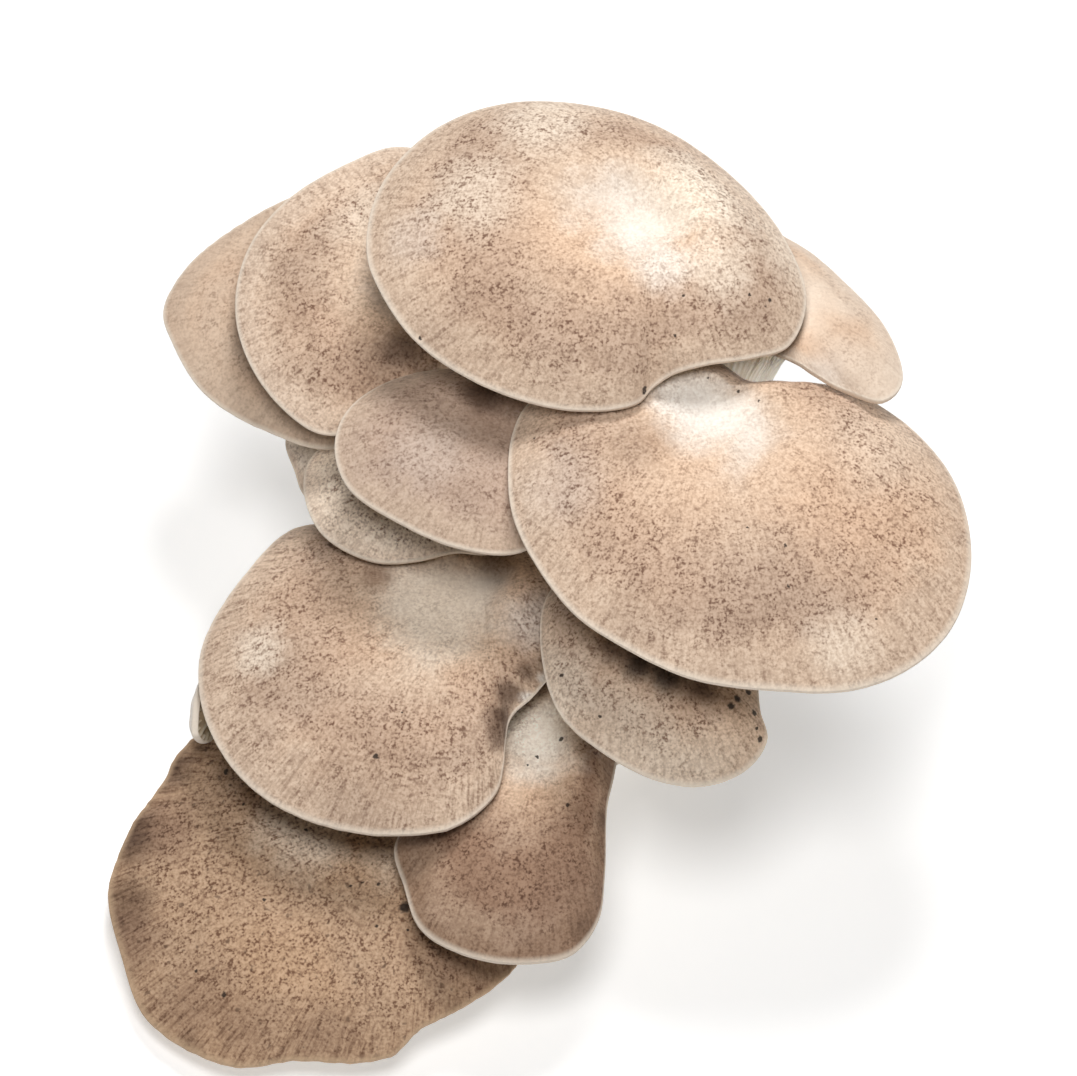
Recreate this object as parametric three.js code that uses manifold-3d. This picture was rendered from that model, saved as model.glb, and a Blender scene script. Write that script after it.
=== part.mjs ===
// An oyster mushroom cluster, picked with its butt and set down on the butt's cut face.
// Thirteen mushrooms grow from one shared butt. Each has a brown cap, and a pale body of gills and stem.
// Millimetres. +X is to the right, +Y is away and +Z is up for someone who stands in front of it.
// The origin is the middle of the cut face.
import * as THREE from "three";
import { mergeVertices } from "three/addons/utils/BufferGeometryUtils.js";
import Module from "manifold-3d";

const wasm = await Module();
wasm.setup();

// The cap outlines are measured as they are seen from this height above the horizon, from the front.
const VIEW_ELEVATION = THREE.MathUtils.degToRad(60);
const VIEW_SIN = Math.sin(VIEW_ELEVATION);
const VIEW_COS = Math.cos(VIEW_ELEVATION);
const TO_VIEWER = new THREE.Vector3(0, -VIEW_COS, VIEW_SIN);

// Clearance between two solids that touch in the real cluster, and that of a cap over its own gills.
const GAP = 0.35;
const SKIN_GAP = 0.75;

// Cap: its rim curls down by LIP, and its underside rises to the stem by a share of the dome.
const CAP_COLUMNS_MORE = 14;
const LIP = 1.2;
const RIM_THICKNESS = 0.8;
const UNDER_SHARE = 0.45;
const CAP_TOP_ROWS = [0, 0.25, 0.5, 0.75, 0.92, 1];
const LIP_OUT = 0.985;
const LIP_IN = 0.93;

// A rim isn't flat. Where it stays nearer to the stem than the mean of its surroundings it stands higher, and
// where it reaches further it hangs: REACH_BLUR is the angle that the mean is taken over, in radians.
const OUTLINE_STEPS = 120;
const REACH_BLUR = 0.5;
const SAG = 0.5;
const LEAST_REACH = 0.75;
const MOST_REACH = 1.15;
const RISE_SHARPNESS = 3;

// Gills: the share of the way from stem to rim where they begin and end. Each row of them is a share of the
// way from the stem's flare to that end, with how far ridges and valleys hang under a full cap's underside.
const GILL_RIM = 0.912;
const GILL_END = 0.89;
const GILL_END_DEPTH = 1.2;
const GILL_ROWS = [
  { out: 0.85, ridge: 3.6, valley: 1.1 },
  { out: 0.42, ridge: 5.4, valley: 2 },
  { out: 0, ridge: 10, valley: 7 },
];
const FULL_GILL_RADIUS = 34;

// Stem: how much wider it is where the gills run onto it, and the places of its rings.
const STEM_FLARE = 1.45;
const STEM_ROWS = [0.2, 0.55, 1];
const STEM_TAPER = 0.12;
const STEM_RIDGE = 0.1;

// Each mushroom, in millimetres as seen: [right of, above] the middle of the cut face.
// centre: where the stem meets the cap. height: of the rim's plane there. facing: the way its skin faces.
// dome: how high the cap stands above its rim. dip: how deep its middle sinks. wave: [height, count, turn].
// foot: where the stem's axis ends in the butt, as [x, y, z].
// folds: where the rim rises or sinks round a point of it, and how much of that is at the very margin.
const MUSHROOMS = [
  {
    name: "crown",
    centre: [22, 97],
    height: 109.3,
    facing: [0, -0.05, 1],
    outline: [
      [-40, 95], [-37, 109], [-26, 121], [-11, 127], [7, 127], [24, 122], [40, 111], [51, 98], [56, 84],
      [52, 74], [44, 71.5], [34, 70], [27, 68], [22.5, 65], [19, 61.5], [6, 60], [-11, 64], [-28, 74],
      [-37, 86],
    ],
    dome: 13,
    dip: 4,
    wave: [0.9, 3, 0.4],
    folds: [{ at: [22.5, 65], rise: -3, width: 5.5, sharpness: 3 }],
    gills: 24,
    stem: 8,
    foot: [5, 23, 26],
  },
  {
    name: "right",
    centre: [34, 57],
    height: 91.2,
    facing: [0.07, -0.02, 1],
    outline: [
      [-9, 45], [-8, 55], [-4, 62], [9, 68], [27, 71], [37, 70], [44, 66], [56, 65.5], [66, 64], [80, 55],
      [89, 43], [92, 27], [88, 13], [79, 4], [66, -1], [48, -1], [31, 1.5], [15, 9], [5, 16], [-4, 28],
      [-8, 37],
    ],
    dome: 12.5,
    dip: 4,
    wave: [0.8, 4, 0.1],
    gills: 24,
    stem: 8,
    foot: [13, 5, 24],
  },
  {
    name: "upper_left",
    centre: [-26, 85],
    height: 80.8,
    facing: [-0.05, -0.15, 1],
    outline: [
      [-69, 84], [-66, 96], [-58, 106], [-45, 114], [-33, 118], [-20, 113], [-13, 98], [-15, 80], [-25, 66],
      [-38, 57], [-50, 55], [-60, 62], [-67, 73],
    ],
    dome: 9,
    dip: 3,
    wave: [0.6, 3, 0.7],
    gills: 20,
    stem: 6.5,
    foot: [-5, 21, 22],
  },
  {
    name: "far_left",
    centre: [-42, 80],
    height: 65.6,
    facing: [-0.14, -0.06, 1],
    outline: [
      [-85, 82], [-80, 91.5], [-69, 100.5], [-55, 107.5], [-44, 108], [-34, 95], [-32, 78], [-36, 62],
      [-47, 52], [-63, 56], [-76, 64], [-83, 75],
    ],
    dome: 8,
    dip: 2.5,
    wave: [0.8, 4, 0.3],
    gills: 18,
    stem: 6,
    foot: [-12, 18, 14],
  },
  {
    name: "middle",
    centre: [-4, 55],
    height: 83,
    facing: [0.02, -0.03, 1],
    outline: [
      [-47, 51], [-45.5, 58], [-41, 63], [-33, 67], [-22, 69], [-9, 69], [2, 66], [9, 55], [6, 38], [-7, 29],
      [-20, 30], [-34, 36], [-44, 43],
    ],
    dome: 8.5,
    dip: 2.5,
    wave: [0.5, 3, 0.2],
    gills: 18,
    stem: 6,
    foot: [-4, 14, 30],
  },
  {
    name: "middle_under",
    centre: [-22, 45],
    height: 60,
    facing: [-0.1, 0, 1],
    outline: [
      [-54, 43], [-52, 50], [-44, 55], [-31, 56], [-18, 55], [-11, 47], [-10, 36], [-13, 29], [-21, 29],
      [-30, 27], [-39, 27], [-50, 33],
    ],
    dome: 6.5,
    dip: 2,
    wave: [0.6, 3, 0.5],
    gills: 15,
    stem: 5,
    foot: [-9, 16, 18],
  },
  {
    name: "left_small",
    centre: [-45, 50],
    height: 45,
    facing: [-0.12, 0.04, 1],
    outline: [
      [-58, 54], [-52, 60], [-45, 61], [-38, 58], [-34, 49], [-38, 40], [-47, 37], [-54, 41.5], [-56, 46.5],
    ],
    dome: 5,
    dip: 1,
    wave: [0.4, 3, 0],
    gills: 12,
    stem: 4.5,
    foot: [-14, 10, 12],
  },
  {
    name: "lower_left",
    centre: [-14, 19],
    height: 47.5,
    facing: [-0.1, -0.02, 1],
    outline: [
      [-77, 0], [-76, 9], [-68, 22.5], [-56, 34], [-42, 34], [-26, 31.5], [-10, 30.5], [2, 27], [9, 20], [7, 11],
      [2, 4.5], [-3.7, -2.4], [-8.5, -7], [-9.8, -13], [-10.2, -18], [-12, -24], [-20.5, -31], [-34, -33],
      [-47, -31.5], [-60, -26.5], [-69, -19], [-75, -9],
    ],
    dome: 10,
    dip: 3.5,
    wave: [0.8, 5, 0.6],
    folds: [{ at: [-6, -5], rise: 5, width: 9, sharpness: 8 }],
    gills: 24,
    stem: 7,
    foot: [-6, -3, 15],
  },
  {
    name: "bottom",
    centre: [-22, -27],
    height: 20,
    facing: [-0.1, -0.12, 1],
    outline: [
      [-97, -46], [-94, -36], [-91, -30], [-85, -22], [-82, -16], [-75, -10], [-57, -6], [-37, -8],
      [-20, -16], [-9, -32], [-4, -50], [-7, -61], [-16, -69], [-29, -76], [-34, -81], [-42, -83],
      [-56, -82.5], [-68, -84], [-79, -80.5], [-89, -73], [-94, -60],
    ],
    dome: 9.5,
    dip: 3,
    wave: [0.7, 5, 0.2],
    gills: 24,
    stem: 7,
    foot: [-8, -10, 9],
  },
  {
    name: "lower_middle",
    centre: [0, -12],
    height: 35.4,
    facing: [0, -0.06, 1],
    outline: [
      [-32, -44], [-34, -36], [-30, -29], [-20, -19], [-12, -8], [-2, 1], [9, 0], [15, -10], [14, -20],
      [12.5, -27], [12, -42], [10.5, -52], [5, -59], [-3, -61], [-16, -60], [-28, -54],
    ],
    dome: 8.5,
    dip: 3,
    wave: [0.5, 4, 0.9],
    gills: 18,
    stem: 6.5,
    foot: [1, -12, 10],
  },
  {
    name: "lower_right",
    centre: [16, 17],
    height: 66,
    facing: [0.04, -0.06, 1],
    outline: [
      [-2, 10], [0, 20], [9, 27], [22, 28], [35, 22], [45, 10], [45.5, -1], [46, -6], [47.5, -12], [43, -18.5],
      [34, -22], [24, -21], [12, -15], [2, -6],
    ],
    dome: 8.5,
    dip: 2.5,
    wave: [0.4, 3, 0.3],
    gills: 18,
    stem: 6,
    foot: [11, -4, 20],
  },
  {
    name: "upper_right",
    centre: [45, 84],
    height: 97,
    facing: [0.06, 0.16, 1],
    outline: [
      [42, 101], [54, 96.5], [65, 87.5], [74, 77], [77, 66], [73, 62], [63, 65], [53, 71], [42, 75], [33, 82],
      [33, 94],
    ],
    dome: 6,
    dip: 2,
    wave: [0.2, 3, 0.8],
    gills: 15,
    stem: 7.5,
    foot: [24, 19, 22],
  },
  {
    name: "side_small",
    centre: [-74, -5],
    height: 29,
    facing: [-0.87, 0.25, -0.43],
    outline: [
      [-73.8, 3], [-76, 1.5], [-77.6, -3], [-78.2, -7.5], [-78, -11.5], [-76.2, -13], [-73.6, -11],
      [-71.4, -5.5], [-71.8, 0.5],
    ],
    dome: 3,
    dip: 0.5,
    wave: [0.2, 3, 0],
    gills: 12,
    stem: 3.2,
    foot: [-16, 1, 12],
  },
];

// Butt: a lumpy body round its middle, swollen where each stem leaves it, over the flat cut face.
const BUTT_MIDDLE = new THREE.Vector3(0, 0, 12);
const BUTT_RADII = new THREE.Vector3(32, 29, 22);
const BUTT_LUMP = 0.05;
const STEM_SWELL = 9;
const STEM_SWELL_SHARPNESS = 14;
const BUTT_COLUMNS = 30;
const BUTT_ROWS = 20;

const CAP_COLOUR = 0xb79f88;
const PALE_COLOUR = 0xe8dfcf;

// The point [right, above] as seen, brought nearer to the viewer.
function seenPoint([right, above], nearer) {
  return new THREE.Vector3(
    right,
    above * VIEW_SIN - nearer * VIEW_COS,
    above * VIEW_COS + nearer * VIEW_SIN,
  );
}

// The middle of the mushroom's rim plane and the plane's normal, on the side of the skin.
function rimPlane(mushroom) {
  const nearer = (mushroom.height - mushroom.centre[1] * VIEW_COS) / VIEW_SIN;
  return {
    centre: seenPoint(mushroom.centre, nearer),
    normal: new THREE.Vector3(...mushroom.facing).normalize(),
  };
}

// The point of the rim's plane that is seen at [right, above].
function onRimPlane({ centre, normal }, seen) {
  const nearer = normal.dot(centre.clone().sub(seenPoint(seen, 0))) / normal.dot(TO_VIEWER);
  return seenPoint(seen, nearer);
}

// The mean length of the spokes that point much the same way as this one.
function meanReach(way, around) {
  let total = 0;
  let weight = 0;
  around.forEach((spoke, i) => {
    const next = around[(i + 1) % around.length];
    const near = spoke.angleTo(next) * Math.exp(-((way.angleTo(spoke) / REACH_BLUR) ** 2));
    total += near * spoke.length();
    weight += near;
  });
  return total / weight;
}

// The rim as spokes from the centre: for each column, the way to its point on the outline, and how far the cap
// is lifted along it. A spoke shifts within the plane by what its lift seems to move it for the viewer.
function spokes(mushroom, plane, columns) {
  const { centre, normal } = plane;
  const points = mushroom.outline.map((seen) => onRimPlane(plane, seen).sub(centre));
  const outline = new THREE.CatmullRomCurve3(points, true, "centripetal");
  const around = outline.getSpacedPoints(OUTLINE_STEPS).slice(1);
  const [waveHeight, waveCount, waveTurn] = mushroom.wave;
  const shift = normal.clone().addScaledVector(TO_VIEWER, -1 / normal.dot(TO_VIEWER));
  return outline.getSpacedPoints(columns).slice(0, columns).map((spoke, column) => {
    const turn = 2 * Math.PI * (waveCount * (column / columns) + waveTurn);
    const reach = THREE.MathUtils.clamp(spoke.length() / meanReach(spoke, around), LEAST_REACH, MOST_REACH);
    const sag = SAG * mushroom.dome * (reach ** 3 - 1);
    const rises = [{ rise: waveHeight * Math.sin(turn) - sag, sharpness: RISE_SHARPNESS }];
    for (const { at, rise, width, sharpness } of mushroom.folds ?? []) {
      const away = onRimPlane(plane, at).sub(centre).distanceTo(spoke) / width;
      rises.push({ rise: rise * Math.exp(-(away ** 2)), sharpness });
    }
    const liftAt = (share) => rises.reduce((sum, { rise, sharpness }) => sum + rise * share ** sharpness, 0);
    return { spoke: spoke.clone().addScaledVector(shift, -liftAt(1)), liftAt };
  });
}

// A closed solid from a sphere whose rows, from the top pole to the bottom one, are placed by a function.
function rowsSolid(columns, rows, place) {
  const sphere = new THREE.SphereGeometry(1, columns, rows.length - 1);
  const position = sphere.getAttribute("position");
  for (let row = 0; row < rows.length; row += 1) {
    for (let step = 0; step <= columns; step += 1) {
      const point = place(rows[row], (columns - step) % columns);
      position.setXYZ(row * (columns + 1) + step, point.x, point.y, point.z);
    }
  }
  sphere.deleteAttribute("normal");
  sphere.deleteAttribute("uv");
  return solidOf(sphere);
}

function solidOf(geometry) {
  const merged = mergeVertices(geometry, 1e-4);
  return new wasm.Manifold(
    new wasm.Mesh({
      numProp: 3,
      vertProperties: merged.getAttribute("position").array,
      triVerts: new Uint32Array(merged.index.array),
    }),
  );
}

function geometryOf(solid) {
  const mesh = solid.getMesh();
  return new THREE.BufferGeometry()
    .setAttribute("position", new THREE.BufferAttribute(new Float32Array(mesh.vertProperties), 3))
    .setIndex(new THREE.BufferAttribute(new Uint32Array(mesh.triVerts), 1));
}

// How far the cap's skin stands above the rim's plane, at a share of the way from the centre to the rim.
function skinHeight(mushroom, share) {
  const dipReach = 0.45;
  const inDip = Math.max(0, 1 - (share / dipReach) ** 2);
  return mushroom.dome * (1 - share ** 3) - mushroom.dip * inDip ** 2;
}

// How far the cap's underside stands above the rim's plane.
function underHeight(mushroom, share) {
  return UNDER_SHARE * mushroom.dome * (1 - share);
}

function capSolid(mushroom) {
  const columns = CAP_COLUMNS_MORE + mushroom.gills;
  const plane = rimPlane(mushroom);
  const rim = spokes(mushroom, plane, columns);
  const rows = CAP_TOP_ROWS.map((share) => ({
    share,
    lift: skinHeight(mushroom, share) + RIM_THICKNESS * share,
  }));
  rows.push({ share: LIP_OUT, lift: -LIP });
  rows.push({ share: LIP_IN, lift: underHeight(mushroom, LIP_IN) });
  rows.push({ share: 0, lift: underHeight(mushroom, 0) });
  return rowsSolid(columns, rows, ({ share, lift }, column) => {
    const { spoke, liftAt } = rim[column];
    const height = lift + liftAt(share);
    return plane.centre.clone().addScaledVector(spoke, share).addScaledVector(plane.normal, height);
  });
}

// The stem's axis, from under the cap to the butt.
function stemAxis(mushroom, plane) {
  const foot = new THREE.Vector3(...mushroom.foot);
  const run = foot.clone().sub(plane.centre);
  const leave = run.clone().normalize().multiplyScalar(0.4).addScaledVector(plane.normal, -0.6).normalize();
  const length = run.length();
  return new THREE.CubicBezierCurve3(
    plane.centre,
    plane.centre.clone().addScaledVector(leave, 0.4 * length),
    foot.clone().addScaledVector(run, -0.35),
    foot,
  );
}

function gillsAndStemSolid(mushroom) {
  const columns = 2 * mushroom.gills;
  const plane = rimPlane(mushroom);
  const rim = spokes(mushroom, plane, columns);
  const mean = rim.reduce((sum, { spoke }) => sum + spoke.length(), 0) / columns;
  const size = Math.min(1, mean / FULL_GILL_RADIUS);
  const flare = STEM_FLARE * mushroom.stem;
  const axis = stemAxis(mushroom, plane);

  // Rows: the flat top, the gills' outer ends, the gills, the stem, its foot.
  const rows = [{ share: 0, ridge: SKIN_GAP, valley: SKIN_GAP }];
  rows.push({ share: GILL_RIM, ridge: SKIN_GAP, valley: SKIN_GAP });
  rows.push({ share: GILL_END, ridge: GILL_END_DEPTH, valley: GILL_END_DEPTH });
  for (const { out, ridge, valley } of GILL_ROWS) {
    rows.push({ out, ridge: ridge * size, valley: valley * size });
  }
  for (const along of STEM_ROWS) {
    rows.push({ along, radius: mushroom.stem * (1 - STEM_TAPER * along) });
  }
  rows.push({ along: 1, radius: 0 });

  return rowsSolid(columns, rows, (row, column) => {
    const { spoke, liftAt } = rim[column];
    const onRidge = column % 2 === 0;
    if (row.along !== undefined) {
      const tangent = axis.getTangent(row.along);
      const turn = new THREE.Quaternion().setFromUnitVectors(plane.normal.clone().negate(), tangent);
      const radius = row.radius * (onRidge ? 1 : 1 - STEM_RIDGE * (1 - row.along));
      const way = spoke.clone().normalize().applyQuaternion(turn);
      return axis.getPoint(row.along).addScaledVector(way, radius);
    }
    const reach = spoke.length();
    const share = row.share ?? (flare + (GILL_END * reach - flare) * row.out) / reach;
    const lift = underHeight(mushroom, share) - (onRidge ? row.ridge : row.valley) + liftAt(share);
    return plane.centre.clone().addScaledVector(spoke, share).addScaledVector(plane.normal, lift);
  });
}

// The ways in which the stems leave the butt.
function stemWays() {
  return MUSHROOMS.map((mushroom) => {
    const axis = stemAxis(mushroom, rimPlane(mushroom));
    return axis.getPoint(0.7).sub(BUTT_MIDDLE).normalize();
  });
}

// The butt, grown by a clearance.
function buttSolid(grow) {
  const ways = stemWays();
  const sphere = new THREE.SphereGeometry(1, BUTT_COLUMNS, BUTT_ROWS);
  sphere.deleteAttribute("normal");
  sphere.deleteAttribute("uv");
  const position = sphere.getAttribute("position");
  const way = new THREE.Vector3();
  for (let i = 0; i < position.count; i += 1) {
    way.fromBufferAttribute(position, i);
    const lump = Math.sin(5 * way.x + 2 * way.z) * Math.cos(4 * way.y - way.z) + Math.sin(7 * way.y + 3 * way.x) / 2;
    const plain = 1 / way.clone().divide(BUTT_RADII).length();
    const swell = ways.reduce((sum, stem) => sum + Math.exp(STEM_SWELL_SHARPNESS * (way.dot(stem) - 1)), 0);
    const radius = plain * (1 + BUTT_LUMP * lump) + STEM_SWELL * Math.min(1, swell) + grow;
    way.multiplyScalar(radius).add(BUTT_MIDDLE);
    position.setXYZ(i, way.x, way.y, way.z);
  }
  const above = new THREE.BoxGeometry(300, 300, 300).translate(0, 0, 150);
  above.deleteAttribute("normal");
  above.deleteAttribute("uv");
  return solidOf(sphere).intersect(solidOf(above));
}

const cluster = new THREE.Group();
const capMaterial = new THREE.MeshStandardMaterial({ color: CAP_COLOUR, roughness: 0.75, metalness: 0 });
const paleMaterial = new THREE.MeshStandardMaterial({ color: PALE_COLOUR, roughness: 0.7, metalness: 0 });

function addNode(name, solid, material) {
  const mesh = new THREE.Mesh(geometryOf(solid), material);
  mesh.name = name;
  cluster.add(mesh);
}

addNode("butt", buttSolid(0), paleMaterial);
const grownButt = buttSolid(GAP);
for (const mushroom of MUSHROOMS) {
  addNode(`cap_${mushroom.name}`, capSolid(mushroom), capMaterial);
  addNode(`gills_and_stem_${mushroom.name}`, gillsAndStemSolid(mushroom).subtract(grownButt), paleMaterial);
}

export default cluster;
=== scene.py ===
import bmesh
import bpy
import math
import numpy as np
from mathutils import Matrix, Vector


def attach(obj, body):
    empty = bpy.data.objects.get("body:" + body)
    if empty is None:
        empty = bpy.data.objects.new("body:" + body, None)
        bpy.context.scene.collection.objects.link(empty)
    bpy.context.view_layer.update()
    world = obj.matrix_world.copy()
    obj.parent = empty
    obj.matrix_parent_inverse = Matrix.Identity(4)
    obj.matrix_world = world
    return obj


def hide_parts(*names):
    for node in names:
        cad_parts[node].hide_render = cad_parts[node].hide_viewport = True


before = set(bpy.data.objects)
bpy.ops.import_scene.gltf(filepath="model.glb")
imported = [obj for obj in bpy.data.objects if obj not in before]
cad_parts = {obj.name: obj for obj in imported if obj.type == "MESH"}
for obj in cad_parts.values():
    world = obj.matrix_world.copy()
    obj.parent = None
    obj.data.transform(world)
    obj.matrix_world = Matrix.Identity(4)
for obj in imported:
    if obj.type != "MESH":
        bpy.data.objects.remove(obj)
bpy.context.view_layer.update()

# An oyster mushroom cluster that stands on the cut face of its butt.
# Sizes are in millimetres in the frame of the solids, and METRE turns them into the scene's metres.
METRE = 0.001
SEAM_GAP = 0.0001 * METRE

# The cap outlines are measured as they are seen from this height above the horizon, from the front.
VIEW_ELEVATION = math.radians(60)
VIEW_SIN = math.sin(VIEW_ELEVATION)
VIEW_COS = math.cos(VIEW_ELEVATION)
TO_VIEWER = np.array((0, -VIEW_COS, VIEW_SIN))
SEEN_UP = np.array((0, VIEW_SIN, VIEW_COS))

# Caps
EDGE_TOP = 0.6
EDGE_LOW = -1
EDGE_OUT = 0.35
UNDER_SHARE = 0.45
DIP_REACH = 0.45
CAP_COLUMN_WIDTH = 1.15
CAP_LEAST_COLUMNS = 84
CAP_TOP_ROWS = 44
CAP_EDGE_ROWS = 6
CAP_LIP_SHARE = 0.975
CAP_UNDER_SHARES = (0.955, 0.93, 0.9, 0.75, 0.6, 0.4, 0.2, 0)
CAP_GROOVE = 0.35

# The finishes read marks: on the skin the share of the way out, and past 1 over the edge and under it.
EDGE_MARK = 0.05
UNDER_MARK = 1.1

# Unevenness of the skin: the height and the wavelength of its broad and its small lumps.
BROAD_LUMPS = (0.3, 17)
SMALL_LUMPS = (0.12, 6)

# A rim isn't flat. Where it stays nearer to the stem than the mean of its surroundings it stands higher, and
# where it reaches further it hangs.
OUTLINE_STEPS = 120
REACH_BLUR = 0.5
SAG = 0.5
LEAST_REACH = 0.75
MOST_REACH = 1.15
RISE_SHARPNESS = 3

# Gills: how far ridges and the valleys between them hang, at shares of the way from the stem's flare to the
# gills' outer end.
GILL_RIM = 0.955
GILL_PLACES = (
    1, 0.985, 0.965, 0.94, 0.9, 0.85, 0.79, 0.72, 0.65, 0.58, 0.51, 0.44, 0.37, 0.3, 0.23, 0.16, 0.1, 0.05, 0,
)
GILL_RIDGES = {0: 10, 0.15: 7.5, 0.42: 5.4, 0.8: 3.8, 0.9: 3, 0.97: 1.6, 1: 0.3}
GILL_VALLEYS = {0: 7.4, 0.15: 4, 0.42: 1.2, 0.8: 0.5, 1: 0.2}
GILL_PITCH = 1.7

# The shares of the way out from the stem where the gills end: long, short, middle, short.
GILL_ENDS = (-1, 0.58, 0.27, 0.5)
GILL_SECTION = (1, 0.16, 0, 0.16)
GILL_DEPTHS = (0.86, 1.1)
RIB_HEIGHTS = (1, 0.3, 0.3, 0.3)
FULL_GILL_RADIUS = 34

# Stems: a stem flares under its gills, tapers downwards, and its foot spreads where it nears the butt.
STEM_FLARE = 1.45
STEM_TAPER = 0.12
STEM_STEPS = 22
STEM_LEAN = 0.4
STEM_LEAVE = 0.4
STEM_ARRIVE = 0.35
STEM_RIB_REACH = 4.5
STEM_FIBRE_WIDTH = 1.6
STEM_SPREAD = 4.5
STEM_SPREAD_REACH = 4.5
STEM_LOWEST = 0.6

# Butt: a lumpy body round its middle, swollen where each stem leaves it.
BUTT_MIDDLE = np.array((0, 0, 12))
BUTT_RADII = np.array((32, 29, 22))
BUTT_LUMP = 0.05
STEM_SWELL = 9
STEM_SWELL_SHARPNESS = 14
BUTT_COLUMNS = 220
BUTT_ROWS = 150

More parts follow.
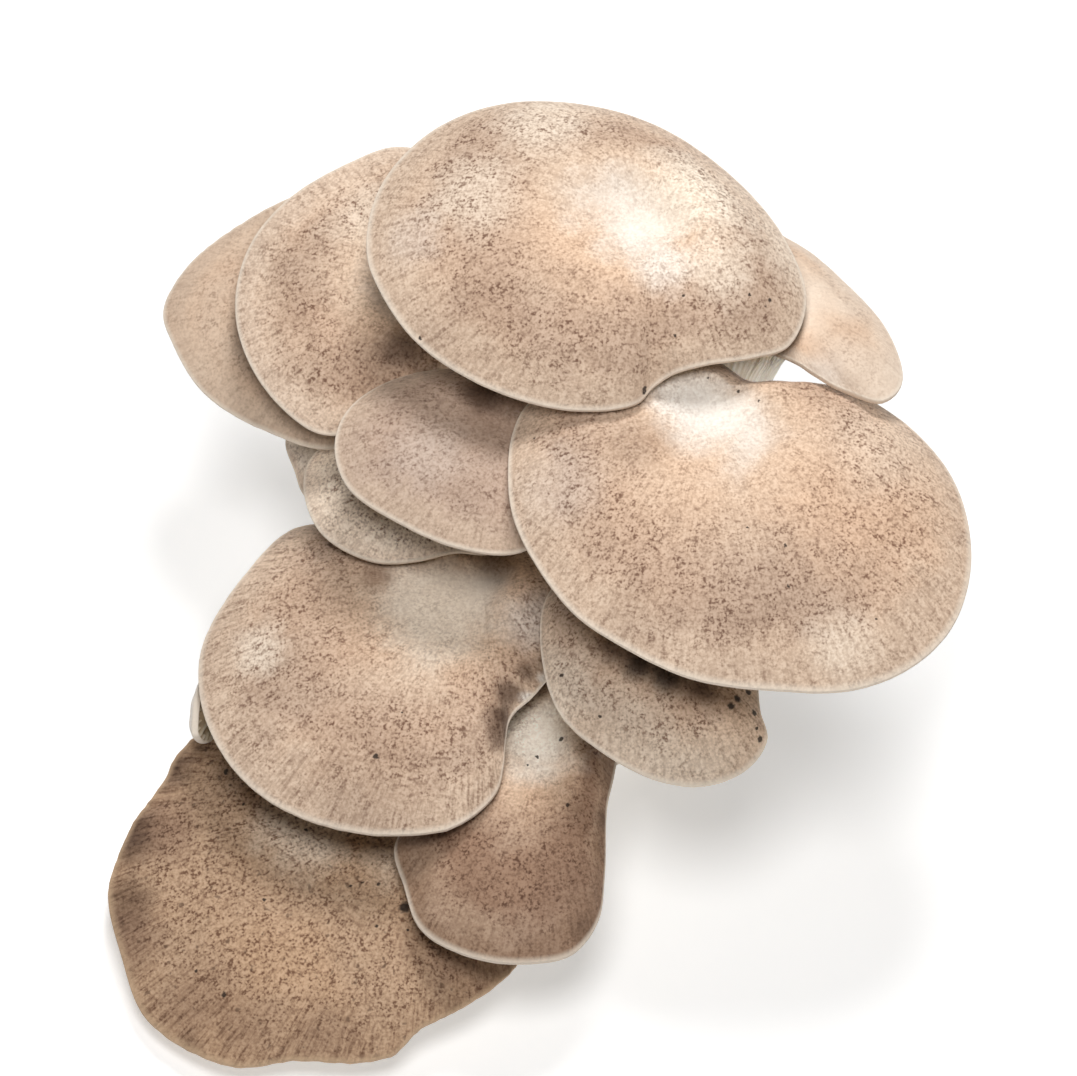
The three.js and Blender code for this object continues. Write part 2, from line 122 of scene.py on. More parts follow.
MUSHROOMS = [
    {
        "name": "crown",
        "centre": (22, 97),
        "height": 109.3,
        "facing": (0, -0.05, 1),
        "outline": [
            (-40, 95), (-37, 109), (-26, 121), (-11, 127), (7, 127), (24, 122), (40, 111), (51, 98), (56, 84),
            (52, 74), (44, 71.5), (34, 70), (27, 68), (22.5, 65), (19, 61.5), (6, 60), (-11, 64), (-28, 74),
            (-37, 86),
        ],
        "dome": 13,
        "dip": 4,
        "wave": (0.9, 3, 0.4),
        "folds": [{"at": (22.5, 65), "rise": -3, "width": 5.5, "sharpness": 3}],
        "stem": 8,
        "foot": (5, 23, 26),
    },
    {
        "name": "right",
        "centre": (34, 57),
        "height": 91.2,
        "facing": (0.07, -0.02, 1),
        "outline": [
            (-9, 45), (-8, 55), (-4, 62), (9, 68), (27, 71), (37, 70), (44, 66), (56, 65.5), (66, 64),
            (80, 55), (89, 43), (92, 27), (88, 13), (79, 4), (66, -1), (48, -1), (31, 1.5), (15, 9), (5, 16),
            (-4, 28), (-8, 37),
        ],
        "dome": 12.5,
        "dip": 4,
        "wave": (0.8, 4, 0.1),
        "stem": 8,
        "foot": (13, 5, 24),
    },
    {
        "name": "upper_left",
        "centre": (-26, 85),
        "height": 80.8,
        "facing": (-0.05, -0.15, 1),
        "outline": [
            (-69, 84), (-66, 96), (-58, 106), (-45, 114), (-33, 118), (-20, 113), (-13, 98), (-15, 80),
            (-25, 66), (-38, 57), (-50, 55), (-60, 62), (-67, 73),
        ],
        "dome": 9,
        "dip": 3,
        "wave": (0.6, 3, 0.7),
        "stem": 6.5,
        "foot": (-5, 21, 22),
    },
    {
        "name": "far_left",
        "centre": (-42, 80),
        "height": 65.6,
        "facing": (-0.14, -0.06, 1),
        "outline": [
            (-85, 82), (-80, 91.5), (-69, 100.5), (-55, 107.5), (-44, 108), (-34, 95), (-32, 78), (-36, 62),
            (-47, 52), (-63, 56), (-76, 64), (-83, 75),
        ],
        "dome": 8,
        "dip": 2.5,
        "wave": (0.8, 4, 0.3),
        "stem": 6,
        "foot": (-12, 18, 14),
    },
    {
        "name": "middle",
        "centre": (-4, 55),
        "height": 83,
        "facing": (0.02, -0.03, 1),
        "outline": [
            (-47, 51), (-45.5, 58), (-41, 63), (-33, 67), (-22, 69), (-9, 69), (2, 66), (9, 55), (6, 38),
            (-7, 29), (-20, 30), (-34, 36), (-44, 43),
        ],
        "dome": 8.5,
        "dip": 2.5,
        "wave": (0.5, 3, 0.2),
        "stem": 6,
        "foot": (-4, 14, 30),
    },
    {
        "name": "middle_under",
        "centre": (-22, 45),
        "height": 60,
        "facing": (-0.1, 0, 1),
        "outline": [
            (-54, 43), (-52, 50), (-44, 55), (-31, 56), (-18, 55), (-11, 47), (-10, 36), (-13, 29), (-21, 29),
            (-30, 27), (-39, 27), (-50, 33),
        ],
        "dome": 6.5,
        "dip": 2,
        "wave": (0.6, 3, 0.5),
        "stem": 5,
        "foot": (-9, 16, 18),
    },
    {
        "name": "left_small",
        "centre": (-45, 50),
        "height": 45,
        "facing": (-0.12, 0.04, 1),
        "outline": [
            (-58, 54), (-52, 60), (-45, 61), (-38, 58), (-34, 49), (-38, 40), (-47, 37), (-54, 41.5),
            (-56, 46.5),
        ],
        "dome": 5,
        "dip": 1,
        "wave": (0.4, 3, 0),
        "stem": 4.5,
        "foot": (-14, 10, 12),
    },
    {
        "name": "lower_left",
        "centre": (-14, 19),
        "height": 47.5,
        "facing": (-0.1, -0.02, 1),
        "outline": [
            (-77, 0), (-76, 9), (-68, 22.5), (-56, 34), (-42, 34), (-26, 31.5), (-10, 30.5), (2, 27), (9, 20),
            (7, 11), (2, 4.5), (-3.7, -2.4), (-8.5, -7), (-9.8, -13), (-10.2, -18), (-12, -24), (-20.5, -31),
            (-34, -33), (-47, -31.5), (-60, -26.5), (-69, -19), (-75, -9),
        ],
        "dome": 10,
        "dip": 3.5,
        "wave": (0.8, 5, 0.6),
        "folds": [{"at": (-6, -5), "rise": 5, "width": 9, "sharpness": 8}],
        "stem": 7,
        "foot": (-6, -3, 15),
    },
    {
        "name": "bottom",
        "centre": (-22, -27),
        "height": 20,
        "facing": (-0.1, -0.12, 1),
        "outline": [
            (-97, -46), (-94, -36), (-91, -30), (-85, -22), (-82, -16), (-75, -10), (-57, -6), (-37, -8),
            (-20, -16), (-9, -32), (-4, -50), (-7, -61), (-16, -69), (-29, -76), (-34, -81), (-42, -83),
            (-56, -82.5), (-68, -84), (-79, -80.5), (-89, -73), (-94, -60),
        ],
        "dome": 9.5,
        "dip": 3,
        "wave": (0.7, 5, 0.2),
        "stem": 7,
        "foot": (-8, -10, 9),
    },
    {
        "name": "lower_middle",
        "centre": (0, -12),
        "height": 35.4,
        "facing": (0, -0.06, 1),
        "outline": [
            (-32, -44), (-34, -36), (-30, -29), (-20, -19), (-12, -8), (-2, 1), (9, 0), (15, -10), (14, -20),
            (12.5, -27), (12, -42), (10.5, -52), (5, -59), (-3, -61), (-16, -60), (-28, -54),
        ],
        "dome": 8.5,
        "dip": 3,
        "wave": (0.5, 4, 0.9),
        "stem": 6.5,
        "foot": (1, -12, 10),
    },
    {
        "name": "lower_right",
        "centre": (16, 17),
        "height": 66,
        "facing": (0.04, -0.06, 1),
        "outline": [
            (-2, 10), (0, 20), (9, 27), (22, 28), (35, 22), (45, 10), (45.5, -1), (46, -6), (47.5, -12),
            (43, -18.5), (34, -22), (24, -21), (12, -15), (2, -6),
        ],
        "dome": 8.5,
        "dip": 2.5,
        "wave": (0.4, 3, 0.3),
        "stem": 6,
        "foot": (11, -4, 20),
    },
    {
        "name": "upper_right",
        "centre": (45, 84),
        "height": 97,
        "facing": (0.06, 0.16, 1),
        "outline": [
            (42, 101), (54, 96.5), (65, 87.5), (74, 77), (77, 66), (73, 62), (63, 65), (53, 71), (42, 75),
            (33, 82), (33, 94),
        ],
        "dome": 6,
        "dip": 2,
        "wave": (0.2, 3, 0.8),
        "stem": 7.5,
        "foot": (24, 19, 22),
    },
    {
        "name": "side_small",
        "centre": (-74, -5),
        "height": 29,
        "facing": (-0.87, 0.25, -0.43),
        "outline": [
            (-73.8, 3), (-76, 1.5), (-77.6, -3), (-78.2, -7.5), (-78, -11.5), (-76.2, -13), (-73.6, -11),
            (-71.4, -5.5), (-71.8, 0.5),
        ],
        "dome": 3,
        "dip": 0.5,
        "wave": (0.2, 3, 0),
        "stem": 3.2,
        "foot": (-16, 1, 12),
    },
]

# Looks

def srgb(red, green, blue):
    """A colour given in screen values from 0 to 255."""
    def linear(value):
        value = value / 255
        return value / 12.92 if value < 0.04045 else ((value + 0.055) / 1.055) ** 2.4
    return (linear(red), linear(green), linear(blue), 1)


# Dark and light granules, as shares of the tone they lie on.
DARK_GRANULE = (0.36, 0.28, 0.25, 1)
LIGHT_GRANULE = (1.26, 1.33, 1.4, 1)

# A skin: its tones from the middle to the rim, how far its bloom reaches, how strong its band, its grain, its
# pits and the pleats of its margin are, and the width and depth of the margin's flutes in millimetres. A
# mushroom's own look changes some.
SKIN = {
    "pale": srgb(240, 231, 220),
    "tan": srgb(216, 189, 164),
    "warm": srgb(222, 189, 160),
    "brown": srgb(180, 152, 131),
    "margin": srgb(210, 185, 162),
    "rim": srgb(242, 229, 212),
    "bloom": 0.4,
    "band": 0.7,
    "grain": 1,
    "pits": 0,
    "pleats": 0.15,
    "flute": 4.5,
    "flute_depth": 0.06,
    "patches": [],
    "specks": [],
}
# Patch tones: darker and paler skin and, where a look says so, painted shade and painted light.
CREAM = srgb(244, 228, 208)
GREY = srgb(216, 206, 197)
PINK = srgb(224, 186, 154)
UMBER = srgb(132, 102, 82)
SEPIA = srgb(88, 64, 48)
# A near-black tone, used only for painted shadow.
PAINTED_SHADOW = srgb(54, 39, 30)
WHITISH = srgb(240, 232, 222)
WHITE = srgb(252, 243, 230)
CRUMB = srgb(44, 32, 25)

# How fine the skin's patterns are, as noise scales on places in metres, from the finest to the broadest.
FINE_SCALE = 1700
GRANULE_SCALE = 900
PIT_SCALE = 560
CLUMP_SCALE = 330
BLOTCH_SCALE = 150
DRIFT_SCALE = 38
STREAK_WIDTH = 1.1
STREAK_LENGTH = 4.5

# Tones of the gills, the stems and the butt
GILL_EDGE = srgb(240, 229, 209)
# The darker gill tone is painted shade for the valleys between the gills.
GILL_PAINTED_SHADE = srgb(192, 172, 142)
GILL_CLOUD = srgb(218, 198, 166)
STEM_WHITE = srgb(247, 242, 234)
STEM_FIBRE = srgb(232, 222, 206)
STEM_FOOT = srgb(208, 188, 156)
FLESH_GRAIN = srgb(190, 168, 138)
BUTT_WHITE = srgb(238, 231, 219)
BUTT_STRAW = srgb(216, 197, 165)
BUTT_BUFF = srgb(182, 155, 116)
BUTT_CUT = srgb(228, 212, 182)
BUTT_GRAIN = srgb(170, 146, 112)
FLESH_DEPTH = (0.004, 0.0025, 0.0012)

# patches: (tone, where it is seen, its radius, its strength). specks: (where it is seen, its radius).
# Some patches are painted shade or painted light, as noted in each look.
LOOKS = {
    "crown": {
        "bloom": 0.4,
        "band": 0.66,
        # The cream patches near the back edge, at (0, 124), (-17, 108) and (33, 108), are partly pale skin
        # and partly painted light where that part faces the light from behind.
        "patches": [
            (CREAM, (33, 108), 16, 0.8), (WHITISH, (25, 92), 9, 0.6), (CREAM, (37, 91), 10, 0.5),
            (CREAM, (-17, 108), 13, 0.45), (UMBER, (-13, 82), 13, 0.2), (GREY, (-30, 98), 9, 0.3),
            (UMBER, (45, 80), 6, 0.12), (UMBER, (-26, 76), 8, 0.2), (CREAM, (0, 124), 14, 0.55),
            (CREAM, (52, 96), 14, 0.45),
        ],
        "specks": [
            ((48, 84), 0.5), ((20.5, 64.5), 0.8), ((43.5, 85.5), 0.35), ((-28, 76), 0.35),
            ((29.3, 85.1), 0.35), ((46.9, 82.9), 0.4), ((27.5, 76.6), 0.4), ((20.9, 64.2), 0.45),
        ],
    },
    "right": {
        "bloom": 0.36,
        "patches": [
            (WHITISH, (30, 62), 11, 0.85), (PINK, (24, 41), 20, 0.3), (GREY, (2, 44), 12, 0.25),
            (UMBER, (19, 53), 9, 0.4), (PINK, (70, 42), 26, 0.5), (CREAM, (72, 52), 16, 0.3),
            (UMBER, (50, 22), 13, 0.12), (UMBER, (20, 16), 10, 0.2), (CREAM, (64, 8), 10, 0.4),
            (UMBER, (40, 8), 14, 0.12),
        ],
        "specks": [
            ((51.3, 30.4), 0.55), ((51.7, 22.2), 0.5), ((43, 34), 0.35), ((41.4, 64), 0.4),
            ((45.5, 61.8), 0.4), ((34.8, 67.1), 0.35), ((71, 15), 0.35), ((-3, 54), 0.4),
        ],
    },
    "upper_left": {
        "bloom": 0.36,
        "band": 0.6,
        "margin": srgb(222, 198, 176),
        # The two sepia patches are painted shadow under the crown's edge.
        "patches": [
            (UMBER, (-54, 84), 8, 0.15), (UMBER, (-40, 68), 12, 0.25), (SEPIA, (-33, 74), 6, 0.75),
            (SEPIA, (-27, 64), 6, 0.85), (CREAM, (-40, 104), 12, 0.4),
        ],
    },
    "far_left": {
        "bloom": 0.3,
        "band": 0.3,
        "grain": 0.5,
        "tan": srgb(226, 202, 178),
        "pleats": 0.3,
        "flute": 2.6,
        "flute_depth": 0.12,
        "patches": [(UMBER, (-50, 62), 8, 0.35)],
    },
    "middle": {
        "bloom": 0.1,
        "band": 0.35,
        "grain": 0.75,
        "tan": srgb(190, 166, 149),
        "warm": srgb(194, 168, 149),
        # The umber and sepia patches are painted shadow below the crown's edge.
        "patches": [(GREY, (-27, 50), 10, 0.25), (UMBER, (-12, 58), 10, 0.4), (SEPIA, (-15, 64), 6, 0.85)],
    },
    # middle_under and left_small sit in the shade of the caps above; their near-white tones are pale skin,
    # lightened further as painted light.
    "middle_under": {
        "bloom": 0.5, "band": 0.15, "tan": srgb(248, 232, 212), "warm": srgb(248, 228, 206),
        "brown": srgb(216, 190, 166), "margin": srgb(232, 210, 188),
    },
    "left_small": {
        "bloom": 0.3, "band": 0.25, "grain": 0.7, "tan": srgb(242, 228, 212), "warm": srgb(242, 226, 208),
    },
    "lower_left": {
        "bloom": 0.42,
        "band": 0.6,
        "pale": srgb(232, 222, 211),
        "pleats": 0.3,
        "flute": 3.2,
        "flute_depth": 0.12,
        # The cream centre is pale skin, lightened further as painted light where the middle cap's shade
        # falls. The sepia patch at (-12, 27) is painted shadow under the middle cap's rim. The sepia patches
        # along the notch, from (-1, 4.5) to (-11.5, -12), are painted shade in the fold's valley, and the two
        # whitish patches beside them are painted light on its raised rim.
        "patches": [
            (CREAM, (-24, 16), 17, 0.85), (GREY, (-4, 14), 9, 0.6), (SEPIA, (-12, 27), 6, 0.6),
            (UMBER, (-38.5, 24), 4.5, 0.6), (UMBER, (-62, -2), 6, 0.15), (CREAM, (-64, 8), 8, 0.6),
            (SEPIA, (-1, 4.5), 3, 0.5), (SEPIA, (-5.5, 2.5), 3.4, 0.7), (SEPIA, (-9, -2), 4, 0.8),
            (SEPIA, (-11, -7), 4.4, 0.9), (SEPIA, (-11.5, -12), 3.6, 0.7), (WHITISH, (-1.5, 0.8), 2.2, 0.9),
            (WHITISH, (-5, -3), 2.4, 0.9), (UMBER, (-40, -26), 18, 0.3),
        ],
        "specks": [((-38.5, -16), 0.7), ((-32, -6), 0.3), ((-13.5, 6), 0.4)],
    },
    "bottom": {
        "bloom": 0.1,
        "band": 0.4,
        "tan": srgb(200, 168, 138),
        "warm": srgb(206, 170, 136),
        "brown": srgb(168, 135, 108),
        "margin": srgb(176, 143, 114),
        "rim": srgb(206, 176, 144),
        "grain": 1.2,
        "pits": 0.6,
        "pleats": 0.4,
        "flute": 3,
        "flute_depth": 0.3,
        # The cream patches at (-54, -30) and (-34, -36) are painted light that lifts the shade under the
        # lower left cap's margin.
        "patches": [
            (UMBER, (-86, -32), 11, 0.7), (SEPIA, (-84, -18), 7, 0.85), (SEPIA, (-93, -34), 9, 0.85),
            (SEPIA, (-93, -48), 8, 0.6), (UMBER, (-92, -56), 10, 0.6), (UMBER, (-20, -56), 14, 0.65),
            (UMBER, (-78, -70), 11, 0.4), (UMBER, (-66, -74), 9, 0.35), (UMBER, (-50, -76), 9, 0.35),
            (CREAM, (-54, -30), 14, 0.6), (CREAM, (-34, -36), 10, 0.4),
            (SEPIA, (-80, -80), 5, 0.4),
        ],
        "specks": [
            ((-32.1, -48.4), 1.5), ((-71.5, -19), 0.8), ((-71.5, -68.4), 0.7), ((-78, -63.6), 0.4),
            ((-43.6, -43.8), 0.45), ((-41.4, -44), 0.45), ((-37.6, -44), 0.45), ((-62, -47), 0.35),
            ((-38, -53.7), 0.4), ((-31.2, -54.1), 0.3), ((-54, -32), 0.5), ((-67, -27), 0.4),
        ],
    },
    "lower_middle": {
        "bloom": 0.4,
        "band": 1,
        "pale": srgb(234, 224, 212),
        "brown": srgb(154, 122, 99),
        "margin": srgb(130, 99, 75),
        # The white neck is pale flesh, whitened further as painted light where the lower left and lower right
        # caps shade it. The sepia patch at (-27, -33) is painted shadow under the lower left cap's edge, and
        # the umber and sepia patches on the lower right are painted shade on the side turned from the light.
        "patches": [
            (WHITE, (-3, -12), 13, 1), (UMBER, (8, -46), 11, 0.6), (SEPIA, (-27, -33), 7, 0.5),
            (UMBER, (-2, -54), 11, 0.4), (SEPIA, (12, -30), 4, 0.5), (SEPIA, (8, -54), 5, 0.4),
        ],
        "specks": [((2.4, -11.9), 0.6), ((-3, -16.5), 0.4), ((-5, -17.8), 0.35), ((3.8, -26.2), 0.6)],
    },
    "lower_right": {
        "bloom": 0.15,
        "tan": srgb(219, 194, 169),
        # The sepia and near-black patches along the top are painted shadow under the right cap's rim.
        "patches": [
            (SEPIA, (14, 9), 5, 0.7), (PAINTED_SHADOW, (20, 5), 5, 0.9), (PAINTED_SHADOW, (26, 2), 5, 0.9),
            (SEPIA, (33, -1), 5, 0.8), (CREAM, (2, 0), 12, 0.45), (CREAM, (18, -10), 12, 0.35),
            (CREAM, (32, -19), 14, 0.45),
        ],
        "specks": [
            ((41, -3), 1), ((39.5, -4.5), 1), ((43.5, -1.5), 0.9), ((44.5, -6), 0.8), ((46, -12), 0.8),
            ((45.5, -9.5), 0.5), ((2.2, 2), 0.55), ((10.5, -6.8), 0.35),
        ],
    },
    "upper_right": {
        "bloom": 0.8,
        "band": 0.2,
        "grain": 0.35,
        "pale": srgb(232, 216, 199),
        "tan": srgb(228, 207, 186),
        "margin": srgb(226, 206, 186),
        "patches": [(GREY, (60, 68), 6, 0.4)],
    },
    "side_small": {
        "bloom": 0.2, "grain": 0.3, "tan": WHITISH, "warm": CREAM, "brown": CREAM, "margin": WHITISH,
    },
}


# Shapes

def smooth(low, high, value):
    """Goes smoothly from 0 at low to 1 at high."""
    t = np.clip((value - low) / (high - low), 0, 1)
    return t * t * (3 - 2 * t)


def length(vectors):
    return np.linalg.norm(vectors, axis=-1)


def unit(vectors):
    return vectors / np.linalg.norm(vectors, axis=-1, keepdims=True)


def from_table(table, at):
    return np.interp(at, list(table), list(table.values()))


def lumps(points, wavelength, seed):
    """Soft unevenness between about -1 and 1, with bumps of about this wavelength."""
    dice = np.random.default_rng(seed)
    waves = 9
    total = 0
    for _ in range(waves):
        way = unit(dice.normal(size=3)) * 2 * math.pi / (wavelength * dice.uniform(0.7, 1.5))
        total = total + np.sin(points @ way + dice.uniform(0, 2 * math.pi))
    return total / math.sqrt(waves)


def seen_point(right, above, nearer=0):
    return np.array((right, 0, 0)) + above * SEEN_UP + nearer * TO_VIEWER


class Plane:
    """The plane of a mushroom's rim."""

    def __init__(self, mushroom):
        right, above = mushroom["centre"]
        self.centre = seen_point(right, above, (mushroom["height"] - above * VIEW_COS) / VIEW_SIN)
        self.normal = unit(np.array(mushroom["facing"], float))

    def seen(self, right, above):
        """The point of the plane that is seen there."""
        start = seen_point(right, above)
        return start + TO_VIEWER * (self.normal.dot(self.centre - start) / self.normal.dot(TO_VIEWER))


def closed_curve(points, steps=16):
    """A smooth closed curve through the points, as many short steps."""
    before, start, end, after = (np.roll(points, shift, axis=0)[:, None] for shift in (1, 0, -1, -2))
    lead = length(start - before)[..., None] ** 0.5
    own = length(end - start)[..., None] ** 0.5
    tail = length(after - end)[..., None] ** 0.5
    leave = ((start - before) / lead - (end - before) / (lead + own) + (end - start) / own) * own
    arrive = ((end - start) / own - (after - start) / (own + tail) + (after - end) / tail) * own
    t = (np.arange(steps) / steps)[None, :, None]
    curve = start * (2 * t ** 3 - 3 * t ** 2 + 1) + leave * (t ** 3 - 2 * t ** 2 + t)
    curve = curve + end * (3 * t ** 2 - 2 * t ** 3) + arrive * (t ** 3 - t ** 2)
    return curve.reshape(-1, 3)


def even_points(curve, count):
    """Points at equal distances along a closed curve."""
    closed = np.vstack((curve, curve[:1]))
    passed = np.concatenate(([0], np.cumsum(length(np.diff(closed, axis=0)))))
    at = np.arange(count) / count * passed[-1]
    return np.stack([np.interp(at, passed, closed[:, k]) for k in range(3)], axis=1)


def mean_reach(spokes, around):
    """The mean length of the spokes that point much the same way as each of these."""
    others = unit(around)
    apart = np.arccos(np.clip(unit(spokes) @ others.T, -1, 1))
    steps = np.arccos(np.clip((others * np.roll(others, -1, axis=0)).sum(axis=1), -1, 1))
    near = np.exp(-(apart / REACH_BLUR) ** 2) * steps
    return near @ length(around) / near.sum(axis=1)


def rim_length(mushroom, plane):
    outline = closed_curve(np.array([plane.seen(*seen) for seen in mushroom["outline"]]))
    return length(outline - np.roll(outline, 1, axis=0)).sum()


class Rim:
    """A mushroom's rim as spokes from the middle of its plane, and how far the cap is lifted along them."""

    def __init__(self, mushroom, plane, columns):
        outline = closed_curve(np.array([plane.seen(*seen) for seen in mushroom["outline"]]) - plane.centre)
        spokes = even_points(outline, columns)
        height, count, turn = mushroom["wave"]
        self.turns = 2 * math.pi * np.arange(columns) / columns
        self.reach = length(spokes) / mean_reach(spokes, even_points(outline, OUTLINE_STEPS))
        sag = SAG * mushroom["dome"] * (np.clip(self.reach, LEAST_REACH, MOST_REACH) ** 3 - 1)
        wave = height * np.sin(count * self.turns + 2 * math.pi * turn)
        self.rises = [(wave - sag, RISE_SHARPNESS)]
        for fold in mushroom.get("folds", []):
            away = length(plane.seen(*fold["at"]) - plane.centre - spokes) / fold["width"]
            self.rises.append((fold["rise"] * np.exp(-away ** 2), fold["sharpness"]))
        # A lifted point shifts within the plane, so that it is still seen in its place.
        shift = plane.normal - TO_VIEWER / plane.normal.dot(TO_VIEWER)
        self.spokes = spokes - shift * self.lift(1)[:, None]
        self.mean = length(self.spokes).mean()

    def lift(self, share):
        return sum(rise * share ** sharpness for rise, sharpness in self.rises)

    def marks(self, value):
        """The attribute that the finishes read: the way round as a cosine and a sine, and a value."""
        return np.stack((np.cos(self.turns), np.sin(self.turns), value + 0 * self.turns), axis=1)


def skin_height(mushroom, share):
    in_dip = max(0, 1 - (share / DIP_REACH) ** 2)
    return mushroom["dome"] * (1 - share ** 3) - mushroom["dip"] * in_dip ** 2


def under_height(mushroom, share):
    return UNDER_SHARE * mushroom["dome"] * (1 - share)


def rings_piece(name, rings):
    """A closed piece: the rows of a grid take these rings of points and marks, and its border is sewn up."""
    points = np.array([ring[0] for ring in rings]) * METRE
    marks = np.array([ring[1] for ring in rings])
    rows, columns = points.shape[:2]
    mesh = bpy.data.meshes.new(name)
    bm = bmesh.new()
    spoke = bm.verts.layers.float_vector.new("spoke")
    bmesh.ops.create_grid(bm, x_segments=columns, y_segments=rows - 1, size=1)
    for vert in bm.verts:
        row = round((vert.co.y + 1) / 2 * (rows - 1))
        column = round((vert.co.x + 1) / 2 * columns) % columns
        vert[spoke] = marks[row, column]
        vert.co = points[row, column]
    border = [vert for vert in bm.verts if vert.is_boundary]
    bmesh.ops.remove_doubles(bm, verts=border, dist=SEAM_GAP)
    return finished_piece(name, mesh, bm)


def finished_piece(name, mesh, bm):
    for face in bm.faces:
        face.smooth = True
    bmesh.ops.recalc_face_normals(bm, faces=bm.faces)
    bm.to_mesh(mesh)
    bm.free()
    piece = bpy.data.objects.new(name, mesh)
    bpy.context.scene.collection.objects.link(piece)
    return piece


def cap_piece(mushroom, plane):
    """The cap, and the points of its skin."""
    look = SKIN | LOOKS[mushroom["name"]]
    columns = round(rim_length(mushroom, plane) / CAP_COLUMN_WIDTH)
    rim = Rim(mushroom, plane, max(CAP_LEAST_COLUMNS, columns))
    ways = unit(rim.spokes)
    round_rim = np.stack((np.cos(rim.turns), np.sin(rim.turns), 0 * rim.turns), axis=1) * rim.mean
    seed = len(mushroom["outline"]) + round(mushroom["height"])
    flutes = lumps(round_rim, look["flute"], seed)

    def ring(share, out, lift, mark):
        base = plane.centre + rim.spokes * share + ways * out
        on_top = 1 if mark <= 1 else 0
        relief = on_top * BROAD_LUMPS[0] * lumps(base, BROAD_LUMPS[1], seed)
        relief = relief + on_top * SMALL_LUMPS[0] * lumps(base, SMALL_LUMPS[1], seed + 1)
        relief = relief * (1 - share ** 8) + flutes * look["flute_depth"] * smooth(0.72, 1, share)
        tone = mark + (rim.reach - 1) * mark * (1 - smooth(0.45, 0.95, mark))
        return base + plane.normal * (lift + rim.lift(share) + relief)[:, None], rim.marks(tone)

    # The skin's rows lie closer together towards the rim.
    rings = []
    for i in range(CAP_TOP_ROWS + 1):
        t = i / CAP_TOP_ROWS
        share = t * (1.3 - 0.3 * t)
        rings.append(ring(share, 0, skin_height(mushroom, share) + EDGE_TOP * share, share))
    skin = np.concatenate([points for points, marks in rings])
    for i in range(1, CAP_EDGE_ROWS + 1):
        turn = math.pi * i / CAP_EDGE_ROWS
        inwards = 0.5 * EDGE_OUT * (1 - math.cos(turn))
        height = EDGE_LOW + (EDGE_TOP - EDGE_LOW) * (1 + math.cos(turn)) / 2
        rings.append(ring(1, EDGE_OUT * math.sin(turn) - inwards, height, 1 + EDGE_MARK * i / CAP_EDGE_ROWS))
    rings.append(ring(CAP_LIP_SHARE, -0.3, EDGE_LOW * 0.7, UNDER_MARK))
    for share in CAP_UNDER_SHARES:
        height = under_height(mushroom, share) - CAP_GROOVE * smooth(0.9, 0.96, share)
        rings.append(ring(share, 0, height, UNDER_MARK))
    return rings_piece("skin_" + mushroom["name"], rings), skin


class Stem:
    """The axis of a stem, from under the cap to the butt."""

    def __init__(self, mushroom, plane):
        foot = np.array(mushroom["foot"], float)
        run = foot - plane.centre
        self.length = length(run)
        leave = unit(unit(run) * STEM_LEAN - plane.normal * (1 - STEM_LEAN))
        leave = plane.centre + leave * STEM_LEAVE * self.length
        self.ends = (plane.centre, leave, foot - run * STEM_ARRIVE, foot)

    def at(self, along):
        start, leave, arrive, end = self.ends
        back = 1 - along
        first_half = start * back ** 3 + leave * 3 * back ** 2 * along
        return first_half + arrive * 3 * back * along ** 2 + end * along ** 3

    def tangent(self, along):
        return unit(self.at(min(1, along + 0.01)) - self.at(max(0, along - 0.01)))


